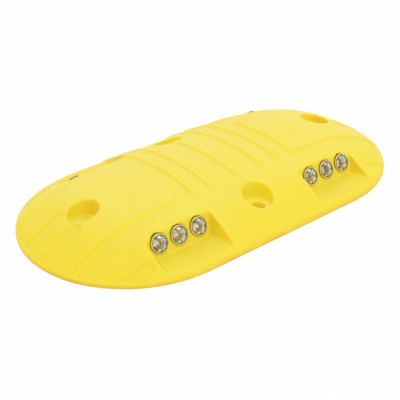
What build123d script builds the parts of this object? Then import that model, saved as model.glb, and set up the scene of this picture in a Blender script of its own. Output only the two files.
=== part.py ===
from build123d import *
import os
from math import cos, radians, sin, sqrt, tan

# Plan outline: straight sides with round ends
length = 450.0
width = 250.0

# Base dome, a circular arc across the stud that carries on round both ends
crest = 41.2
rim = 1.6

# Height of the bands and end decks above the dome, and the rounding of their edges
relief = 1.8
relief_edge_radius = 0.9

# Raised decks on the two ends
deck_start = 76.5
deck_half_width = 49.0

# Flanks beside the decks: a dome moved outwards and down, which rises slowly from the base dome.
# Their start is measured from the centre of the round end.
flank_start = 20.0
flank_shift = 5.0
flank_sink = 0.75

# Grooves between the bars of the end decks. The outer ones, on the flanks, lie at a distance in
# from the long side, and their start is measured from the centre of the round end.
groove_width = 11.0
groove_margin = 3.5
groove_corner_radius = 2.0
inner_groove_at = 15.0
inner_groove_start = 181.0
middle_groove_at = 54.5
outer_groove_at = 28.5
outer_groove_start = 48.0

# Raised bands across the dome
centre_band_width = 7.0
inner_band_at = 35.5
inner_band_width = 8.0
outer_band_at = 58.0
outer_band_width = 7.0

# Anchor holes: two on the long axis and two on the short axis
end_hole_at = 162.0
side_hole_at = 79.0
bore_diameter = 16.0
recess_diameter = 33.0
end_recess_floor = 15.0
side_recess_floor = 13.0
recess_fillet = 1.5

# Reflector pockets, two on each long side
pocket_at = 102.0
pocket_foot_width = 66.5
pocket_top = 73.7
pocket_floor = 7.0
pocket_tilt = 27.0
pocket_draft = 23.5
pocket_flare = 12.0
pocket_fillet = 3.4

# Reflectors: three in a row in each pocket
reflectors_per_pocket = 3
reflector_pitch = 24.0
reflector_drop = 10.4

# Glass lens: a domed face, a bevelled edge, a straight barrel and a round back
lens_radius = 8.35
lens_barrel = 5.0
lens_edge = 0.5
lens_bevel = 0.7
lens_crown = 2.4

# Silvered cup round the back of the lens
mirror_gap = 0.05
mirror_thickness = 0.35
mirror_top = -0.1

# Metal holder, pressed into a socket in the body
holder_gap = 0.1
holder_wall = 0.5
holder_floor = 0.6
flange_overhang = 0.65
flange_thickness = 1.8
flange_edge_radius = 0.5
socket_gap = 0.1

# Square cells that core out the thick middle from below, with ribs between them
skin = 5.0
core_pitch = 46.0
rib_thickness = 4.0
cores_along = 3
cores_across = 1

# Worked out from the sizes above
half_width = width / 2
end_centre = length / 2 - half_width
over = 2 * crest
tilt = radians(pocket_tilt)
lens_face_radius = lens_radius - lens_bevel
lens_face = lens_edge + lens_bevel
lens_back = -lens_barrel - lens_radius
mirror_inside = lens_radius + mirror_gap
mirror_outside = mirror_inside + mirror_thickness
sleeve_inside = mirror_outside + holder_gap
sleeve_outside = sleeve_inside + holder_wall
sleeve_bottom = -lens_barrel - sleeve_inside
socket_radius = sleeve_outside + socket_gap
socket_depth = holder_floor + socket_gap - sleeve_bottom


def arc_radius(top, edge):
    """Radius of the arc that falls from top on the centre line to edge at the outline."""
    fall = top - edge
    return (half_width**2 + fall**2) / (2 * fall)


base_radius = arc_radius(crest, rim)
base_centre = crest - base_radius


def arc_height(top, radius, y):
    """Height of an arc with its highest point on the centre line, at a distance y from it."""
    return top - radius + sqrt(radius**2 - y**2)


def half_section(top, radius, reach):
    """Half of the cross-section, from the centre line out to reach, as points and an arc."""
    edge = arc_height(top, radius, reach)
    middle = arc_height(top, radius, reach / 2)
    sides = Polyline((0, top), (0, 0), (reach, 0), (reach, edge))
    roof = ThreePointArc((reach, edge), (reach / 2, middle), (0, top))
    return make_face(sides.edges() + roof.edges())


def dome(top, radius, reach):
    """Solid under an arc of the given radius, with a stadium plan of half width reach."""
    half = half_section(top, radius, reach)
    full = half + mirror(half, Plane.YZ)
    middle = extrude(Plane.YZ * full, end_centre, both=True)
    turned = revolve(Plane.XZ * half, Axis.Z, 180)
    left = Pos(-end_centre, 0, 0) * Rot(0, 0, 90) * turned
    right = Pos(end_centre, 0, 0) * Rot(0, 0, -90) * turned
    return middle + left + right


def block(x_low, x_high, y_low, y_high, z_low, z_high):
    """Box given by its limits."""
    size = Box(x_high - x_low, y_high - y_low, z_high - z_low)
    return Pos((x_low + x_high) / 2, (y_low + y_high) / 2, (z_low + z_high) / 2) * size


def both_sides(shape, plane):
    """A shape together with its mirror image."""
    return shape + mirror(shape, plane)


def outline_prism(inset):
    """Upright prism with the plan outline of the stud, drawn in by inset."""
    return extrude(SlotOverall(length - 2 * inset, width - 2 * inset), over)


def cross_band(at, band_width):
    """Raised band that follows the dome from side to side, with bevelled upper edges."""
    profile = Rectangle(band_width, 2 * relief)
    upper = profile.vertices().sort_by(Axis.Y)[-2:]
    profile = chamfer(upper, relief_edge_radius)
    spine = Axis((0, 0, base_centre), (1, 0, 0))
    placed = Plane.XZ * Pos(at, crest) * profile
    half_turn = 60.0
    return revolve(placed.rotate(spine, -half_turn), spine, 2 * half_turn)


def bands():
    """The five cross bands. The middle one stops at the two side anchor holes."""
    wide = both_sides(cross_band(inner_band_at, inner_band_width), Plane.YZ)
    wide += both_sides(cross_band(outer_band_at, outer_band_width), Plane.YZ)
    stop = block(-length, length, -side_hole_at, side_hole_at, 0, over)
    return (wide + (cross_band(0, centre_band_width) & stop)) & outline_prism(0)


def groove(at, start):
    """Groove that runs out towards the rim of the stud, with a round inner end."""
    run = block(start, length, at - groove_width / 2, at + groove_width / 2, 0, over)
    run &= outline_prism(groove_margin)
    corners = run.edges().filter_by(Axis.Z).group_by(Axis.X)
    run = fillet(corners[-1] + corners[-2], groove_corner_radius)
    return run + Pos(start, at, over / 2) * Cylinder(groove_width / 2, over)


def end_deck():
    """Raised deck on one end, with the two inner grooves."""
    roof = dome(crest + relief, base_radius + relief, half_width)
    plan = block(deck_start, length, -deck_half_width, deck_half_width, 0, over)
    plan -= both_sides(groove(inner_groove_at, inner_groove_start), Plane.XZ)
    return soften(roof & plan)


def end_flank():
    """Flank on the front side of one end, cut into bars by the middle and outer grooves."""
    roof = Pos(flank_shift, 0, -flank_sink) * dome(crest, base_radius, half_width)
    start = end_centre + flank_start
    plan = block(start, length, -width, -deck_half_width, 0, over) & outline_prism(0)
    plan -= mirror(groove(middle_groove_at, deck_start), Plane.XZ)
    outer = groove(half_width - outer_groove_at, end_centre + outer_groove_start)
    plan -= mirror(outer, Plane.XZ)
    return roof & plan


def soften(deck):
    """Rounds the upper edges of the deck bars, but not the smooth seam of the roof."""
    upper = [e for e in deck.edges() if e.bounding_box().min.Z > rim / 2 and not is_seam(e)]
    return fillet(upper, relief_edge_radius)


def is_seam(edge):
    """True for the edge where the straight part of a dome runs into its round end."""
    return edge.bounding_box().size.X < 0.01 and abs(abs(edge.center().X) - end_centre) < 0.01


def pocket_outline(z):
    """Level outline of the front right pocket at height z, from its back wall outwards."""
    wall_top = arc_height(crest, base_radius, pocket_top)
    wall_y = pocket_top + (wall_top - z) * tan(tilt)
    foot_y = pocket_top + (wall_top - pocket_floor) * tan(tilt)
    flare = tan(radians(pocket_flare))
    half_foot = pocket_foot_width / 2 + (z - pocket_floor) * tan(radians(pocket_draft))
    half_back = half_foot + (wall_y - foot_y) * flare
    half_front = half_foot + (width - foot_y) * flare
    corners = [
        (pocket_at - half_back, -wall_y),
        (pocket_at + half_back, -wall_y),
        (pocket_at + half_front, -width),
        (pocket_at - half_front, -width),
    ]
    return Pos(0, 0, z) * make_face(Polyline(corners, close=True))


def to_four(shape):
    """The front right shape and its three mirror images."""
    return both_sides(both_sides(shape, Plane.YZ), Plane.XZ)


def pocket():
    """Cutter for the front right pocket, open outwards, with rounded inner corners."""
    wedge = loft([pocket_outline(pocket_floor), pocket_outline(over)], ruled=True)
    inner = [e for e in wedge.edges() if e.bounding_box().max.Y > -width + 1]
    inner = [e for e in inner if e.bounding_box().min.Z < over - 1]
    return fillet(inner, pocket_fillet)


def hole_places():
    """Plan position and recess floor of the four anchor holes."""
    return [
        (-end_hole_at, 0, end_recess_floor),
        (end_hole_at, 0, end_recess_floor),
        (0, -side_hole_at, side_recess_floor),
        (0, side_hole_at, side_recess_floor),
    ]


def upright(radius, low, high):
    """Upright cylinder between two heights."""
    return Pos(0, 0, (low + high) / 2) * Cylinder(radius, high - low)


def anchor_hole(floor):
    """Cutter for one anchor hole, with a flat-bottomed recess for the bolt head."""
    recess = upright(recess_diameter / 2, floor, over)
    recess = fillet(recess.edges().group_by(Axis.Z)[0], recess_fillet)
    return recess + upright(bore_diameter / 2, -skin, over)


def cores():
    """Cells under one quarter of the stud, each roofed at the thickness of the skin."""
    cells = []
    for row in range(cores_across):
        for column in range(cores_along):
            x = column * core_pitch + rib_thickness / 2
            y = row * core_pitch + rib_thickness / 2
            far = (row + 1) * core_pitch - rib_thickness / 2
            roof = arc_height(crest, base_radius, far) - skin
            cells.append(block(x, x + core_pitch - rib_thickness, y, far, -skin, roof))
    return cells


def reflector_places():
    """Position and facing of every reflector on the pocket walls, by name."""
    wall_top = arc_height(crest, base_radius, pocket_top)
    y = pocket_top + reflector_drop * sin(tilt)
    z = wall_top - reflector_drop * cos(tilt)
    places = {}
    for side, facing in (("front", -1), ("rear", 1)):
        for end, way in (("left", -1), ("right", 1)):
            for number in range(reflectors_per_pocket):
                step = number - (reflectors_per_pocket - 1) / 2
                origin = (way * pocket_at + step * reflector_pitch, facing * y, z)
                out = (0, facing * cos(tilt), sin(tilt))
                plane = Plane(origin, x_dir=(1, 0, 0), z_dir=out)
                places[f"{side}_{end}_{number + 1}"] = plane.location
    return places


def round_back(radius):
    """Quarter arc from the axis to the side, for the back of the lens and its cup."""
    middle = (radius * sin(radians(45)), -lens_barrel - radius * cos(radians(45)))
    return ThreePointArc((0, -lens_barrel - radius), middle, (radius, -lens_barrel))


def turn(lines):
    """Solid turned about the upright axis from a closed outline of radius and height."""
    return revolve(Plane.XZ * make_face(lines), Axis.Z)


def lens():
    """Glass body of one reflector, facing up."""
    tip = lens_face + lens_crown
    crown_radius = (lens_face_radius**2 + lens_crown**2) / (2 * lens_crown)
    half = lens_face_radius / 2
    crown = tip - crown_radius + sqrt(crown_radius**2 - half**2)
    side = Polyline(
        (lens_radius, -lens_barrel), (lens_radius, lens_edge), (lens_face_radius, lens_face)
    )
    front = ThreePointArc((lens_face_radius, lens_face), (half, crown), (0, tip))
    axis = Line((0, tip), (0, lens_back))
    return turn(round_back(lens_radius).edges() + side.edges() + front.edges() + axis.edges())


def mirror_cup():
    """Thin silvered cup that holds the round back and the barrel of the lens."""
    inside = round_back(mirror_inside)
    outside = round_back(mirror_outside)
    skirt = Polyline(
        (mirror_inside, -lens_barrel),
        (mirror_inside, mirror_top),
        (mirror_outside, mirror_top),
        (mirror_outside, -lens_barrel),
    )
    axis = Line((0, -lens_barrel - mirror_inside), (0, -lens_barrel - mirror_outside))
    return turn(inside.edges() + skirt.edges() + outside.edges() + axis.edges())


def holder():
    """Metal cup with a flange on the pocket wall and a lip crimped over the lens edge."""
    flange = sleeve_outside + flange_overhang
    lip = lens_face_radius + holder_gap
    crimp = lens_edge + lens_radius + holder_gap * sqrt(2)
    floor = sleeve_bottom - holder_floor
    outline = [
        (0, floor),
        (sleeve_outside, floor),
        (sleeve_outside, 0),
        (flange, 0),
        (flange, flange_thickness),
        (lip, flange_thickness),
        (lip, crimp - lip),
        (sleeve_inside, crimp - sleeve_inside),
        (sleeve_inside, sleeve_bottom),
        (0, sleeve_bottom),
    ]
    face = make_face(Polyline(outline, close=True))
    rolled = face.vertices().group_by(Axis.Y)[-1]
    face = fillet(rolled, flange_edge_radius)
    return revolve(Plane.XZ * face, Axis.Z)


def body():
    """The one-piece moulded body."""
    shape = dome(crest, base_radius, half_width) + bands()
    shape += both_sides(end_deck(), Plane.YZ)
    shape += to_four(end_flank())
    shape -= to_four(pocket())
    for x, y, floor in hole_places():
        shape -= Pos(x, y) * anchor_hole(floor)
    for cell in cores():
        shape -= to_four(cell)
    for place in reflector_places().values():
        shape -= place * upright(socket_radius, -socket_depth, lens_crown)
    return shape


os.makedirs("parts", exist_ok=True)
export_step(body(), "parts/body.step")
pieces = {"holder": holder(), "mirror": mirror_cup(), "lens": lens()}
for name, place in reflector_places().items():
    for kind, piece in pieces.items():
        export_step(place * piece, f"parts/{kind}_{name}.step")
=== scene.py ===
import math

import bpy
from mathutils import Matrix, Vector


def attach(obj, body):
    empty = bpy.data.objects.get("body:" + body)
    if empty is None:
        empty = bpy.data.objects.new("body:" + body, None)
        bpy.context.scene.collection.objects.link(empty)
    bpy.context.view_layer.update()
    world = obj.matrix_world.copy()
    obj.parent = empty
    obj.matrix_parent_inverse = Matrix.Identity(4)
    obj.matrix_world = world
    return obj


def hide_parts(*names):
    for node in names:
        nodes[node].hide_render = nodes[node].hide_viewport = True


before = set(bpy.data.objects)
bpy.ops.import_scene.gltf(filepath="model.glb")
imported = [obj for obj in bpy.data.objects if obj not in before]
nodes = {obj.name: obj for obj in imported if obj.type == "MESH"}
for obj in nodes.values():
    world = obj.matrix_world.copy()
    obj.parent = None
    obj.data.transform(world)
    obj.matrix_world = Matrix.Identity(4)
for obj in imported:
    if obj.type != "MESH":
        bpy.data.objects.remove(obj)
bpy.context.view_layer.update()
scene = bpy.context.scene
scene.view_settings.view_transform = "Standard"
scene.cycles.max_bounces = 24
scene.cycles.diffuse_bounces = 16
scene.cycles.glossy_bounces = 16
scene.cycles.transmission_bounces = 20

# Millimetres to metres
MM = 0.001

# Sizes repeated from the part's source, in millimetres
LENS_RADIUS = 8.35
LENS_BARREL = 5.0
LENS_EDGE = 0.5
LENS_BEVEL = 0.7
LENS_CROWN = 2.4
MIRROR_INSIDE = 8.40
MIRROR_OUTSIDE = 8.75
MIRROR_TOP = -0.1
SLEEVE_INSIDE = 8.85
SLEEVE_OUTSIDE = 9.35
LIP_GAP = 0.1
CRIMP_GAP = 0.1414
FLANGE = 10.0
FLANGE_THICKNESS = 1.8
HOLDER_FLOOR = 0.6
CREST = 41.2
RIM = 1.6
HALF_WIDTH = 125.0
END_CENTRE = 100.0
# Distance along and across of the end holes, and of the side holes
HOLES = ((162.0, 0.0), (0.0, 79.0))
POCKET_AT = 102.0
POCKET_TOP = 73.7
POCKET_TILT = math.radians(27.0)
PITCH = 24.0
DROP = 10.4
DOME_RADIUS = (HALF_WIDTH**2 + (CREST - RIM)**2) / (2 * (CREST - RIM))
WALL_TOP = CREST - DOME_RADIUS + math.sqrt(DOME_RADIUS**2 - POCKET_TOP**2)

# Forms that only the scene has, in millimetres, with pairs for where one starts and is full
VOXEL = 0.8
LENS_RING = 5.4
LENS_RING_WIDTH = 0.5
LENS_RING_DEPTH = 0.22
BEAD_ROUND = 1.1
LIP_ROUND = 0.5
OUTER_GROOVE_AT = 96.5
OUTER_GROOVE_FROM = 152.5
OUTER_GROOVE_SIDE = (6.2, 5.0)
OUTER_GROOVE_DEPTH = 1.5
SHOULDER_HEIGHT = 1.5
SHOULDER_RISE = (30.0, 70.0)
SHOULDER_FALL = (110.0, 74.0)
SHOULDER_SKIN = (5.0, 1.0)
BANDS_ALONG = (72.0, 66.0)
BANDS_FADE = (-44.0, -62.0)

# Where edges are rounded off, in millimetres from nothing to all
ABOVE_RIM = (3.0, 9.0)
BESIDE_POCKET = (40.0, 46.0)
BEHIND_POCKET = (78.0, 74.5)
BEFORE_POCKET = (92.0, 97.0)
FAINT_ALONG = ((68.0, 76.0), (165.0, 145.0))
FAINT_ACROSS = ((38.0, 44.0), (68.0, 62.0))
# X times Y in square metres, which is positive at the front left and the rear right
FAINT_QUARTERS = (0.001, 0.002)
# Share of the rounding at most edges, and at the faint ones
ROUNDING = (0.3, 1.0)
ROUNDING_STEPS = 30

# Colours of the plastic, in linear red, green and blue
DEEP_YELLOW = ((0.970, 0.785, 0.017), (0.984, 0.82, 0.027))
# Painted sheen: a paler yellow for faces that point up
PAINTED_SHEEN_YELLOW = ((0.965, 0.80, 0.082), (0.98, 0.835, 0.104))
# Painted shade: a deeper yellow for faces that point sideways
SIDE_SHADE_YELLOW = (0.985, 0.745, 0.009)
# Painted light and shade in the round recesses: a lighter wall, a shaded side, a lit floor and a
# lit foot to the wall
RECESS_WALL_LIT = (0.99, 0.875, 0.055)
RECESS_SHADE = (0.98, 0.72, 0.045)
RECESS_FLOOR_LIT = (0.99, 0.93, 0.16)
RECESS_FOOT_LIT = (0.99, 0.97, 0.20)
SPECK_YELLOW = (0.90, 0.68, 0.020)
# Painted shade: a more orange yellow at the foot of the rim
RIM_SHADE_YELLOW = (0.86, 0.52, 0.025)
# Painted shade in creases
CREASE_SHADE_YELLOW = (0.93, 0.73, 0.016)

# Colours of the reflectors, in linear red, green and blue
METAL = ((0.92, 0.79, 0.36), (0.97, 0.91, 0.56))
# Painted contact shadow at the flange's outer edge, and painted shade at the crimped lip
METAL_EDGE_SHADOW = (0.48, 0.32, 0.06)
METAL_LIP_SHADE = (0.32, 0.24, 0.09)
SILVER = ((0.70, 0.63, 0.42), (0.95, 0.92, 0.80))
CLEAR = ((0.93, 0.925, 0.83), (0.98, 0.975, 0.92))

# Where colours change, in millimetres
# Heights over which the painted sheen comes in, above the pocket floors
SHEEN_HEIGHT = (3.0, 15.0)
# Heights over which the painted shade at the foot of the rim fades out upward
RIM_SHADE_HEIGHT = (4.8, 1.2)
# Heights over which the painted light at the foot of the end holes' walls comes in
LIT_FOOT_HEIGHT = (21.0, 19.2)
RECESS_EDGE = (17.6, 16.2)
END_HOLES_ALONG = (80.0, 120.0)
# Radii of the painted shadow at the flange's edge and of the painted shade at the lip
METAL_SHADOW_RADIUS = (9.5, 9.9)
METAL_LIP_SHADE_RADIUS = (8.6, 8.1)

# Where colours change, by a part of the face's normal or by another factor
UPWARD_NORMAL = (0.86, 0.995)
SIDEWAYS_NORMAL = (0.5, 0.85)
LEFTWARD_NORMAL = (-0.45, -0.85)
NOISE_SPAN = (0.3, 0.7)
SPECK_SPAN = (0.66, 0.74)
# Pointiness over which the painted shade in creases comes in
CREASE_SHADE_SPAN = (0.485, 0.44)

# Studio, in metres and watts
FLOOR_SIZE = 8.0
FLOOR_DROP = 0.0002
FLOOR_GREY = (0.86, 0.86, 0.86, 1.0)
FLOOR_GLOW = 0.96
WORLD_STRENGTH = 0.90
WORLD_WARM = (1.0, 0.93, 0.84)
WORLD_WHITE = (1.0, 1.0, 1.0)
WORLD_WARM_SIDE = (-0.8, 0.4)
LAMP_AT = (0.4, -0.3, 1.5)
LAMP_SIZE = 1.0
LAMP_POWER = 2.2
CARD_BROWN = (0.22, 0.18, 0.12, 1.0)
# Direction, distance, width and height of each card
CARDS = (
    ((0.53, -0.81, 0.25), 1.3, 1.0, 0.34),
    ((-0.53, -0.60, 0.80), 1.5, 0.7, 0.4),
)

# Camera fitted to the photograph, with angles in degrees and lengths in millimetres
CAMERA_AZIMUTH = -37.845
CAMERA_ELEVATION = 30.825
CAMERA_ROLL = -1.336
CAMERA_AT = (-513.926, -643.379, 475.2)
CAMERA_LENS = 76.671
CAMERA_SENSOR = 36.0
CAMERA_NEAREST = 10.0

# Radius below which a point of an outline lies on the axis, in millimetres
ON_AXIS = 1e-6

# Sockets of the mix node for two vectors or two colours, and for their result
MIX_VECTORS, MIXED_VECTOR = (4, 5), 1
MIX_COLOURS, MIXED_COLOUR = (6, 7), 2


def node_material(name):
    """A new material, its node tree and its principled shader."""
    material = bpy.data.materials.new(name)
    material.use_nodes = True
    return material, material.node_tree, material.node_tree.nodes["Principled BSDF"]


def fill(node, **values):
    """Sets properties and inputs of a node by their names."""
    for key, value in values.items():
        if hasattr(node, key):
            setattr(node, key, value)
        else:
            node.inputs[key.replace("_", " ")].default_value = value


def add(tree, kind, **values):
    """A new node with some of its properties and inputs set."""
    node = tree.nodes.new(kind)
    fill(node, **values)
    return node


def calculate(tree, operation, *terms):
    """Result of a math node on outputs and plain numbers."""
    node = add(tree, "ShaderNodeMath", operation=operation)
    for socket, term in zip(node.inputs, terms):
        if isinstance(term, float):
            socket.default_value = term
        else:
            tree.links.new(term, socket)
    return node.outputs[0]


def product(tree, first, *others):
    """Product of outputs and plain numbers."""
    for other in others:
        first = calculate(tree, "MULTIPLY", first, other)
    return first


def larger(tree, first, *others):
    """The largest of some outputs and plain numbers."""
    for other in others:
        first = calculate(tree, "MAXIMUM", first, other)
    return first


def distance(tree, value, centre=0.0):
    """Distance of an output from a centre value."""
    return calculate(tree, "ABSOLUTE", calculate(tree, "SUBTRACT", value, centre))


def axes(tree, vector):
    """The X, Y and Z outputs of a vector."""
    split = add(tree, "ShaderNodeSeparateXYZ")
    tree.links.new(vector, split.inputs[0])
    return split.outputs


def flat_length(tree, along, across):
    """Length in plan of two outputs at right angles."""
    flat = add(tree, "ShaderNodeCombineXYZ")
    tree.links.new(along, flat.inputs["X"])
    tree.links.new(across, flat.inputs["Y"])
    length = add(tree, "ShaderNodeVectorMath", operation="LENGTH")
    tree.links.new(flat.outputs[0], length.inputs[0])
    return length.outputs["Value"]


def between(tree, value, span, to=(0.0, 1.0), kind="LINEAR"):
    """A value mapped from one span to another, and held at both ends."""
    mapped = add(
        tree, "ShaderNodeMapRange", interpolation_type=kind,
        From_Min=span[0], From_Max=span[1], To_Min=to[0], To_Max=to[1],
    )
    tree.links.new(value, mapped.inputs["Value"])
    return mapped.outputs["Result"]


def between_mm(tree, length, span, kind="LINEAR"):
    """A length mapped from a span in millimetres to 0 to 1, and held at both ends."""
    return between(tree, length, (span[0] * MM, span[1] * MM), kind=kind)


def noise(tree, place, scale, detail=3.0, roughness=0.5):
    """Noise texture at a place."""
    texture = add(tree, "ShaderNodeTexNoise", Scale=scale, Detail=detail, Roughness=roughness)
    tree.links.new(place, texture.inputs["Vector"])
    return texture.outputs["Fac"]


def spread(tree, texture, low, high):
    """A noise mapped to a range of values."""
    return between(tree, texture, NOISE_SPAN, to=(low, high))


def ramp(tree, texture, colours):
    """Colour between two that follows a noise."""
    node = add(tree, "ShaderNodeValToRGB")
    for stop, at, colour in zip(node.color_ramp.elements, NOISE_SPAN, colours):
        stop.position = at
        stop.color = (*colour, 1.0)
    tree.links.new(texture, node.inputs["Fac"])
    return node.outputs["Color"]


def blend(tree, factor, first, second):
    """Colour between two, each a colour or an output."""
    node = add(tree, "ShaderNodeMix", data_type="RGBA")
    tree.links.new(factor, node.inputs["Factor"])
    for index, colour in zip(MIX_COLOURS, (first, second)):
        if isinstance(colour, tuple):
            node.inputs[index].default_value = (*colour, 1.0)
        else:
            tree.links.new(colour, node.inputs[index])
    return node.outputs[MIXED_COLOUR]


def bump(tree, height, strength, depth):
    """Normal from a height output, with a depth in metres."""
    node = add(tree, "ShaderNodeBump", Strength=strength, Distance=depth)
    tree.links.new(height, node.inputs["Height"])
    return node.outputs["Normal"]


def object_place(tree):
    """Coordinates fixed to the piece, in metres."""
    return add(tree, "ShaderNodeTexCoord").outputs["Object"]


def own_place(tree, place):
    """Coordinates that differ from one copy of a piece to the next."""
    moved = add(tree, "ShaderNodeVectorMath", operation="ADD")
    tree.links.new(place, moved.inputs[0])
    tree.links.new(add(tree, "ShaderNodeObjectInfo").outputs["Location"], moved.inputs[1])
    return moved.outputs[0]


def dress(tree, shader, colour, roughness, normal, **values):
    """Links the inputs of a shader that vary and sets those that don't."""
    tree.links.new(colour, shader.inputs["Base Color"])
    tree.links.new(roughness, shader.inputs["Roughness"])
    tree.links.new(normal, shader.inputs["Normal"])
    fill(shader, **values)


def inside_holes(tree, along, across):
    """One inside the four round recesses and zero outside them."""
    insides = []
    for hole_along, hole_across in HOLES:
        reach = flat_length(
            tree,
            distance(tree, along, hole_along * MM),
            distance(tree, across, hole_across * MM),
        )
        insides.append(between_mm(tree, reach, RECESS_EDGE))
    return larger(tree, *insides)


def recess_light_and_shade(tree, along, height, leftward, upward):
    """Painted light and shade in the recesses: a lighter wall, a painted shaded side that faces
    left in the end holes, a painted lit floor, and a painted pale foot to the wall in the end
    holes.
    """
    at_end = between_mm(tree, along, END_HOLES_ALONG)
    # Painted shade on the wall that faces left in the end holes
    colour = blend(tree, product(tree, at_end, leftward), RECESS_WALL_LIT, RECESS_SHADE)
    # Painted light on the floors of the recesses
    colour = blend(tree, upward, colour, RECESS_FLOOR_LIT)
    # Painted light at the foot of the wall in the end holes
    foot = between_mm(tree, height, LIT_FOOT_HEIGHT)
    return blend(tree, product(tree, at_end, foot), colour, RECESS_FOOT_LIT)


def plastic():
    """Yellow moulded plastic with random specks, painted sheen on top, painted shade on the sides,
    in creases and at the foot of the rim, and painted light and shade in the recesses.
    """
    material, tree, shader = node_material("yellow_plastic")
    place = object_place(tree)
    x, y, height = axes(tree, place)
    along, across = distance(tree, x), distance(tree, y)
    shell = add(tree, "ShaderNodeNewGeometry").outputs
    normal_x, _, normal_z = axes(tree, shell["Normal"])
    upward = between(tree, normal_z, UPWARD_NORMAL)
    sideways = between(tree, distance(tree, normal_x), SIDEWAYS_NORMAL)
    leftward = between(tree, normal_x, LEFTWARD_NORMAL)

    mottle = noise(tree, place, scale=18.0, detail=4.0, roughness=0.6)
    deep, band_fade_and_sheen = ramp(tree, mottle, DEEP_YELLOW), ramp(tree, mottle, PAINTED_SHEEN_YELLOW)
    sheen_height = between_mm(tree, height, SHEEN_HEIGHT)
    # Painted sheen: faces that point up and stand above the pocket floors are paler
    colour = blend(tree, product(tree, upward, sheen_height), deep, band_fade_and_sheen)
    # Painted shade: faces that point sideways get a deeper yellow
    colour = blend(tree, sideways, colour, SIDE_SHADE_YELLOW)
    # Painted light and shade inside the four round recesses
    recess = recess_light_and_shade(tree, along, height, leftward, upward)
    colour = blend(tree, inside_holes(tree, along, across), colour, recess)
    specks = between(tree, noise(tree, place, scale=900.0, detail=2.0), SPECK_SPAN)
    colour = blend(tree, specks, colour, SPECK_YELLOW)
    # Painted shade: patches of a more orange yellow near the foot of the rim
    patches = spread(tree, noise(tree, place, scale=45.0, detail=4.0), 0.35, 0.9)
    rim_shade = product(tree, between_mm(tree, height, RIM_SHADE_HEIGHT), patches)
    colour = blend(tree, rim_shade, colour, RIM_SHADE_YELLOW)
    # Painted shade: creases, found by pointiness, get a deeper yellow
    crease_shade = between(tree, shell["Pointiness"], CREASE_SHADE_SPAN)
    colour = blend(tree, crease_shade, colour, CREASE_SHADE_YELLOW)

    sheen = spread(tree, noise(tree, place, scale=60.0, detail=5.0), 0.38, 0.52)
    grain = noise(tree, place, scale=1400.0, detail=2.0)
    dress(
        tree, shader, colour, sheen, bump(tree, grain, strength=0.10, depth=0.0002),
        IOR=1.5, Subsurface_Weight=0.2, Subsurface_Radius=(1.0, 0.7, 0.1),
        Subsurface_Scale=0.003,
    )
    return material


def pressed_metal():
    """Bright, slightly bronzed pressed metal of the reflector holders, with a painted contact
    shadow at the outer edge of the flange and painted shade at the crimped lip.
    """
    material, tree, shader = node_material("pressed_metal")
    place = object_place(tree)
    x, y, _ = axes(tree, place)
    reach = flat_length(tree, x, y)
    mottle = noise(tree, own_place(tree, place), scale=300.0)
    colour = ramp(tree, mottle, METAL)
    # Painted contact shadow at the outer edge of the flange
    colour = blend(tree, between_mm(tree, reach, METAL_SHADOW_RADIUS), colour, METAL_EDGE_SHADOW)
    # Painted shade at the crimped lip
    colour = blend(tree, between_mm(tree, reach, METAL_LIP_SHADE_RADIUS), colour, METAL_LIP_SHADE)
    dents = noise(tree, place, scale=600.0, detail=1.0)
    dress(
        tree, shader, colour, spread(tree, mottle, 0.10, 0.26),
        bump(tree, dents, strength=0.06, depth=0.0001), Metallic=1.0,
    )
    return material


def silvering():
    """Silvered cup behind the lens, a little uneven."""
    material, tree, shader = node_material("silvering")
    place = own_place(tree, object_place(tree))
    mottle = noise(tree, place, scale=260.0)
    dents = noise(tree, place, scale=150.0, detail=1.0)
    dress(
        tree, shader, ramp(tree, mottle, SILVER), spread(tree, mottle, 0.04, 0.16),
        bump(tree, dents, strength=0.8, depth=0.002), Metallic=1.0,
    )
    return material


def glass():
    """Clear pressed glass with slightly uneven polish."""
    material, tree, shader = node_material("clear_glass")
    place = object_place(tree)
    mottle = noise(tree, place, scale=400.0)
    waves = noise(tree, place, scale=350.0, detail=1.0)
    dress(
        tree, shader, ramp(tree, mottle, CLEAR), spread(tree, mottle, 0.0, 0.03),
        bump(tree, waves, strength=0.03, depth=0.0001), Transmission_Weight=1.0, IOR=1.52,
    )
    return material


def arc(centre, radius, start, end, steps):
    """Points on an arc in the plane of radius and height, with angles in degrees."""
    points = []
    for step in range(steps + 1):
        angle = math.radians(start + (end - start) * step / steps)
        points.append((
            centre[0] + radius * math.cos(angle),
            centre[1] + radius * math.sin(angle),
        ))
    return points


def lathe(name, outline, steps=96, sharp_angle=40):
    """Mesh turned about the local Z axis from points of radius and height in millimetres."""
    vertices = []
    rings = []
    for radius, height in outline:
        if radius < ON_AXIS:
            rings.append([len(vertices)] * steps)
            vertices.append((0.0, 0.0, height * MM))
            continue
        rings.append(list(range(len(vertices), len(vertices) + steps)))
        for step in range(steps):
            angle = 2 * math.pi * step / steps
            x, y = radius * math.cos(angle), radius * math.sin(angle)
            vertices.append((x * MM, y * MM, height * MM))
    faces = []
    for lower, upper in zip(rings, rings[1:]):
        for step in range(steps):
            after = (step + 1) % steps
            face = [lower[step], lower[after], upper[after], upper[step]]
            faces.append(tuple(dict.fromkeys(face)))
    mesh = bpy.data.meshes.new(name)
    mesh.from_pydata(vertices, [], faces)
    mesh.polygons.foreach_set("use_smooth", [True] * len(mesh.polygons))
    mesh.set_sharp_from_angle(angle=math.radians(sharp_angle))
    mesh.update()
    return mesh


def lens_ring_depth(radius):
    """Depth of the shallow ring in the face of the lens."""
    return LENS_RING_DEPTH * math.exp(-((radius - LENS_RING) / LENS_RING_WIDTH) ** 2)


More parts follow.
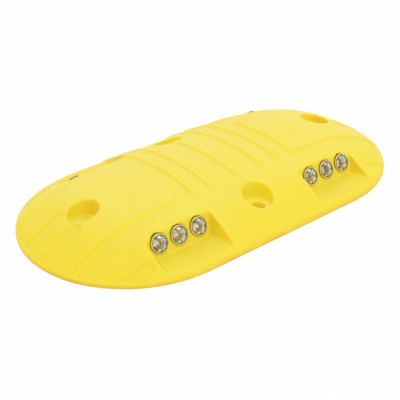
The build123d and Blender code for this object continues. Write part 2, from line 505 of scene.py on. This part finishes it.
def lens_mesh():
    """Domed glass with a ring in its face, a bevelled edge, a straight barrel and a round back."""
    face_radius = LENS_RADIUS - LENS_BEVEL
    face = LENS_EDGE + LENS_BEVEL
    crown_radius = (face_radius**2 + LENS_CROWN**2) / (2 * LENS_CROWN)
    crown_centre = (0, face + LENS_CROWN - crown_radius)
    half_angle = math.degrees(math.asin(face_radius / crown_radius))
    back = arc((0, -LENS_BARREL), LENS_RADIUS, -90, 0, steps=24)
    crown = arc(crown_centre, crown_radius, 90 - half_angle, 90, steps=36)
    front = [(radius, height - lens_ring_depth(radius)) for radius, height in crown]
    back[0] = (0.0, back[0][1])
    front[-1] = (0.0, front[-1][1])
    return lathe("lens", back + [(LENS_RADIUS, LENS_EDGE)] + front)


def mirror_mesh():
    """Thin cup round the back and the barrel of the lens."""
    inside = arc((0, -LENS_BARREL), MIRROR_INSIDE, 0, -90, steps=24)
    outside = arc((0, -LENS_BARREL), MIRROR_OUTSIDE, -90, 0, steps=24)
    inside[-1] = (0.0, inside[-1][1])
    outside[0] = (0.0, outside[0][1])
    rim = [(MIRROR_OUTSIDE, MIRROR_TOP), (MIRROR_INSIDE, MIRROR_TOP)]
    return lathe("mirror", outside + rim + inside)


def holder_mesh():
    """Pressed cup with a rolled flange and a lip crimped over the lens edge."""
    lip = LENS_RADIUS - LENS_BEVEL + LIP_GAP
    crimp = LENS_EDGE + LENS_RADIUS + CRIMP_GAP
    inner_floor = -LENS_BARREL - SLEEVE_INSIDE
    outer_floor = inner_floor - HOLDER_FLOOR
    bead_centre = (FLANGE - BEAD_ROUND, FLANGE_THICKNESS - BEAD_ROUND)
    lip_centre = (lip + LIP_ROUND, FLANGE_THICKNESS - LIP_ROUND)
    outer = [(0.0, outer_floor), (SLEEVE_OUTSIDE, outer_floor), (SLEEVE_OUTSIDE, 0.0)]
    flange = [(FLANGE, 0.0)]
    flange += arc(bead_centre, BEAD_ROUND, 0, 90, steps=10)
    flange += arc(lip_centre, LIP_ROUND, 90, 180, steps=6)
    inner = [
        (lip, crimp - lip),
        (SLEEVE_INSIDE, crimp - SLEEVE_INSIDE),
        (SLEEVE_INSIDE, inner_floor),
        (0.0, inner_floor),
    ]
    return lathe("holder", outer + flange + inner)


def reflector_frames():
    """Place of every reflector by the name its nodes share, with local Z facing out."""
    across = Vector((1, 0, 0))
    y = POCKET_TOP + DROP * math.sin(POCKET_TILT)
    z = WALL_TOP - DROP * math.cos(POCKET_TILT)
    frames = {}
    for side, facing in (("front", -1), ("rear", 1)):
        out = Vector((0, facing * math.cos(POCKET_TILT), math.sin(POCKET_TILT)))
        turned = Matrix((across, out.cross(across), out)).transposed().to_4x4()
        for end, way in (("left", -1), ("right", 1)):
            for number in (1, 2, 3):
                x = way * POCKET_AT + (number - 2) * PITCH
                at = Vector((x, facing * y, z)) * MM
                frames[f"{side}_{end}_{number}"] = Matrix.Translation(at) @ turned
    return frames


def place_reflectors():
    """Smooth glass, cup and holder in place of the CAD nodes of every reflector."""
    kinds = (
        ("holder", holder_mesh(), pressed_metal()),
        ("mirror", mirror_mesh(), silvering()),
        ("lens", lens_mesh(), glass()),
    )
    for kind, mesh, material in kinds:
        mesh.materials.append(material)
        for name, place in reflector_frames().items():
            piece = bpy.data.objects.new(f"visual_{kind}_{name}", mesh)
            scene.collection.objects.link(piece)
            piece.matrix_world = place
            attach(piece, "root")
            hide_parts(f"{kind}_{name}")


def distance_from_spine(tree, along, across):
    """Distance in plan from the line that joins the centres of the two round ends."""
    past = larger(tree, calculate(tree, "SUBTRACT", along, END_CENTRE * MM), 0.0)
    return flat_length(tree, past, across)


def depth_in_dome(tree, reach, height):
    """Depth of a point under the plain dome, at a distance from the spine."""
    squared = calculate(tree, "SUBTRACT", (DOME_RADIUS * MM) ** 2, product(tree, reach, reach))
    root = calculate(tree, "SQRT", squared)
    surface = calculate(tree, "ADD", root, (CREST - DOME_RADIUS) * MM)
    return calculate(tree, "SUBTRACT", surface, height)


def sunk_bands(tree, along, y, depth):
    """Drop that takes the cross bands down to the dome on the front flank."""
    proud = calculate(tree, "MINIMUM", depth, 0.0)
    band_fade_and_sheen = between_mm(tree, y, BANDS_FADE)
    return product(tree, between_mm(tree, along, BANDS_ALONG), band_fade_and_sheen, proud)


def deeper_grooves(tree, along, across, height):
    """Drop that makes the outer grooves deeper."""
    before = larger(tree, calculate(tree, "SUBTRACT", OUTER_GROOVE_FROM * MM, along), 0.0)
    reach = flat_length(tree, before, distance(tree, across, OUTER_GROOVE_AT * MM))
    inside = between_mm(tree, reach, OUTER_GROOVE_SIDE)
    above_rim = between_mm(tree, height, ABOVE_RIM)
    return product(tree, inside, above_rim, -OUTER_GROOVE_DEPTH * MM)


def fuller_shoulder(tree, reach, depth):
    """Lift that makes the dome fuller half way out, for points near its surface."""
    rise = between_mm(tree, reach, SHOULDER_RISE, kind="SMOOTHSTEP")
    fall = between_mm(tree, reach, SHOULDER_FALL, kind="SMOOTHSTEP")
    skin = between_mm(tree, depth, SHOULDER_SKIN, kind="SMOOTHSTEP")
    return product(tree, rise, fall, skin, SHOULDER_HEIGHT * MM)


def surface_lift(tree, place):
    """Lift of every point of the body for the forms that only the scene has."""
    x, y, height = axes(tree, place)
    along, across = distance(tree, x), distance(tree, y)
    reach = distance_from_spine(tree, along, across)
    depth = depth_in_dome(tree, reach, height)
    bands = sunk_bands(tree, along, y, depth)
    grooves = deeper_grooves(tree, along, across, height)
    lowered = calculate(tree, "ADD", bands, grooves)
    return calculate(tree, "ADD", lowered, fuller_shoulder(tree, reach, depth))


def rounding_share(tree, place):
    """Share of the rounding at a point: none at the thin rim and round the reflectors."""
    x, y, height = axes(tree, place)
    along, across = distance(tree, x), distance(tree, y)
    beside = between_mm(tree, distance(tree, along, POCKET_AT * MM), BESIDE_POCKET)
    behind = between_mm(tree, across, BEHIND_POCKET)
    before = between_mm(tree, across, BEFORE_POCKET)
    clear = larger(tree, beside, behind, before)
    faint = between(tree, product(tree, x, y), FAINT_QUARTERS)
    for value, spans in ((along, FAINT_ALONG), (across, FAINT_ACROSS)):
        for span in spans:
            faint = product(tree, faint, between_mm(tree, value, span))
    amount = between(tree, faint, (0.0, 1.0), to=ROUNDING)
    return product(tree, between_mm(tree, height, ABOVE_RIM), clear, amount)


def rounded_place(tree, place):
    """Place of a point after its edge is rounded off."""
    blurred = add(
        tree, "GeometryNodeBlurAttribute", data_type="FLOAT_VECTOR", Iterations=ROUNDING_STEPS
    )
    tree.links.new(place, blurred.inputs["Value"])
    mixed = add(tree, "ShaderNodeMix", data_type="VECTOR")
    tree.links.new(rounding_share(tree, place), mixed.inputs["Factor"])
    for index, output in zip(MIX_VECTORS, (place, blurred.outputs["Value"])):
        tree.links.new(output, mixed.inputs[index])
    return mixed.outputs[MIXED_VECTOR]


def moulded_edges():
    """Geometry nodes that lift and sink shallow forms of the body and then round its edges."""
    tree = bpy.data.node_groups.new("moulded_edges", "GeometryNodeTree")
    for way in ("INPUT", "OUTPUT"):
        tree.interface.new_socket("Geometry", in_out=way, socket_type="NodeSocketGeometry")
    start = add(tree, "NodeGroupInput")
    end = add(tree, "NodeGroupOutput")
    place = add(tree, "GeometryNodeInputPosition").outputs[0]
    upright = add(tree, "ShaderNodeCombineXYZ")
    tree.links.new(surface_lift(tree, place), upright.inputs["Z"])
    lifted = add(tree, "GeometryNodeSetPosition")
    tree.links.new(start.outputs[0], lifted.inputs["Geometry"])
    tree.links.new(upright.outputs[0], lifted.inputs["Offset"])
    rounded = add(tree, "GeometryNodeSetPosition")
    tree.links.new(lifted.outputs["Geometry"], rounded.inputs["Geometry"])
    tree.links.new(rounded_place(tree, place), rounded.inputs["Position"])
    tree.links.new(rounded.outputs["Geometry"], end.inputs[0])
    return tree


def soften_body():
    """Soft moulded edges and shallow forms on the CAD body, and its plastic."""
    body = nodes["body"]
    body.data.materials.clear()
    body.data.materials.append(plastic())
    melt = body.modifiers.new("melt", "REMESH")
    melt.mode = "VOXEL"
    melt.voxel_size = VOXEL * MM
    melt.use_smooth_shade = True
    relax = body.modifiers.new("relax", "SMOOTH")
    relax.factor = 0.5
    relax.iterations = 5
    soft = body.modifiers.new("soft", "NODES")
    soft.node_group = moulded_edges()
    thin = body.modifiers.new("thin", "DECIMATE")
    thin.ratio = 0.3


def flat_sheet(name, width, height):
    """Flat rectangular object round its own origin, in the scene."""
    x, y = width / 2, height / 2
    mesh = bpy.data.meshes.new(name)
    mesh.from_pydata([(-x, -y, 0), (x, -y, 0), (x, y, 0), (-x, y, 0)], [], [(0, 1, 2, 3)])
    piece = bpy.data.objects.new(name, mesh)
    scene.collection.objects.link(piece)
    return piece


def studio_floor():
    """Pale floor that shows nearly white to the camera, to metal and to glass."""
    floor = flat_sheet("floor", FLOOR_SIZE, FLOOR_SIZE)
    floor.location = (0, 0, -FLOOR_DROP)
    material, tree, shader = node_material("floor_white")
    fill(shader, Base_Color=FLOOR_GREY, Roughness=0.9, Specular_IOR_Level=0.0)
    glow = add(tree, "ShaderNodeEmission", Strength=1.0)
    bright = add(tree, "ShaderNodeMixShader", Fac=FLOOR_GLOW)
    seen = add(tree, "ShaderNodeMixShader")
    path = add(tree, "ShaderNodeLightPath").outputs
    rays = [path[f"Is {kind} Ray"] for kind in ("Camera", "Glossy", "Transmission")]
    tree.links.new(shader.outputs[0], bright.inputs[1])
    tree.links.new(glow.outputs[0], bright.inputs[2])
    tree.links.new(larger(tree, *rays), seen.inputs["Fac"])
    tree.links.new(shader.outputs[0], seen.inputs[1])
    tree.links.new(bright.outputs[0], seen.inputs[2])
    tree.links.new(seen.outputs[0], tree.nodes["Material Output"].inputs["Surface"])
    floor.data.materials.append(material)


def dark_card(towards, away, width, height):
    """Dull dark card in the studio, seen only in mirrored and refracted light."""
    card = flat_sheet("card", width, height)
    material, _, shader = node_material("card_brown")
    fill(shader, Base_Color=CARD_BROWN, Roughness=1.0)
    card.data.materials.append(material)
    card.location = Vector(towards).normalized() * away
    card.rotation_euler = (-card.location).to_track_quat("Z", "Y").to_euler()
    card.visible_camera = False
    card.visible_diffuse = False
    card.visible_shadow = False


def studio_light():
    """Even surround, slightly warm on the left, a soft lamp, and cards for the glass to mirror."""
    world = bpy.data.worlds.new("studio")
    world.use_nodes = True
    tree = world.node_tree
    background = tree.nodes["Background"]
    x = axes(tree, add(tree, "ShaderNodeTexCoord").outputs["Generated"])["X"]
    colour = blend(tree, between(tree, x, WORLD_WARM_SIDE), WORLD_WARM, WORLD_WHITE)
    tree.links.new(colour, background.inputs["Color"])
    fill(background, Strength=WORLD_STRENGTH)
    scene.world = world
    lamp = bpy.data.lights.new("softbox", "AREA")
    lamp.shape = "RECTANGLE"
    lamp.size = LAMP_SIZE
    lamp.size_y = LAMP_SIZE
    lamp.energy = LAMP_POWER
    box = bpy.data.objects.new("softbox", lamp)
    box.location = LAMP_AT
    box.rotation_euler = (-box.location).to_track_quat("-Z", "Y").to_euler()
    scene.collection.objects.link(box)
    for card in CARDS:
        dark_card(*card)


def photo_camera():
    """Camera at the photograph's angle."""
    azimuth = math.radians(CAMERA_AZIMUTH)
    elevation = math.radians(CAMERA_ELEVATION)
    roll = math.radians(CAMERA_ROLL)
    right = Vector((math.cos(azimuth), math.sin(azimuth), 0))
    back = Vector((
        math.sin(azimuth) * math.cos(elevation),
        -math.cos(azimuth) * math.cos(elevation),
        math.sin(elevation),
    ))
    up = back.cross(right)
    across = right * math.cos(roll) + up * math.sin(roll)
    upward = up * math.cos(roll) - right * math.sin(roll)
    turned = Matrix((across, upward, back)).transposed().to_4x4()
    camera = bpy.data.objects.new("camera", bpy.data.cameras.new("camera"))
    camera.data.sensor_width = CAMERA_SENSOR
    camera.data.lens = CAMERA_LENS
    camera.data.clip_start = CAMERA_NEAREST * MM
    camera.matrix_world = Matrix.Translation(Vector(CAMERA_AT) * MM) @ turned
    scene.collection.objects.link(camera)
    scene.camera = camera


soften_body()
place_reflectors()
studio_floor()
studio_light()
photo_camera()

bpy.context.view_layer.update()
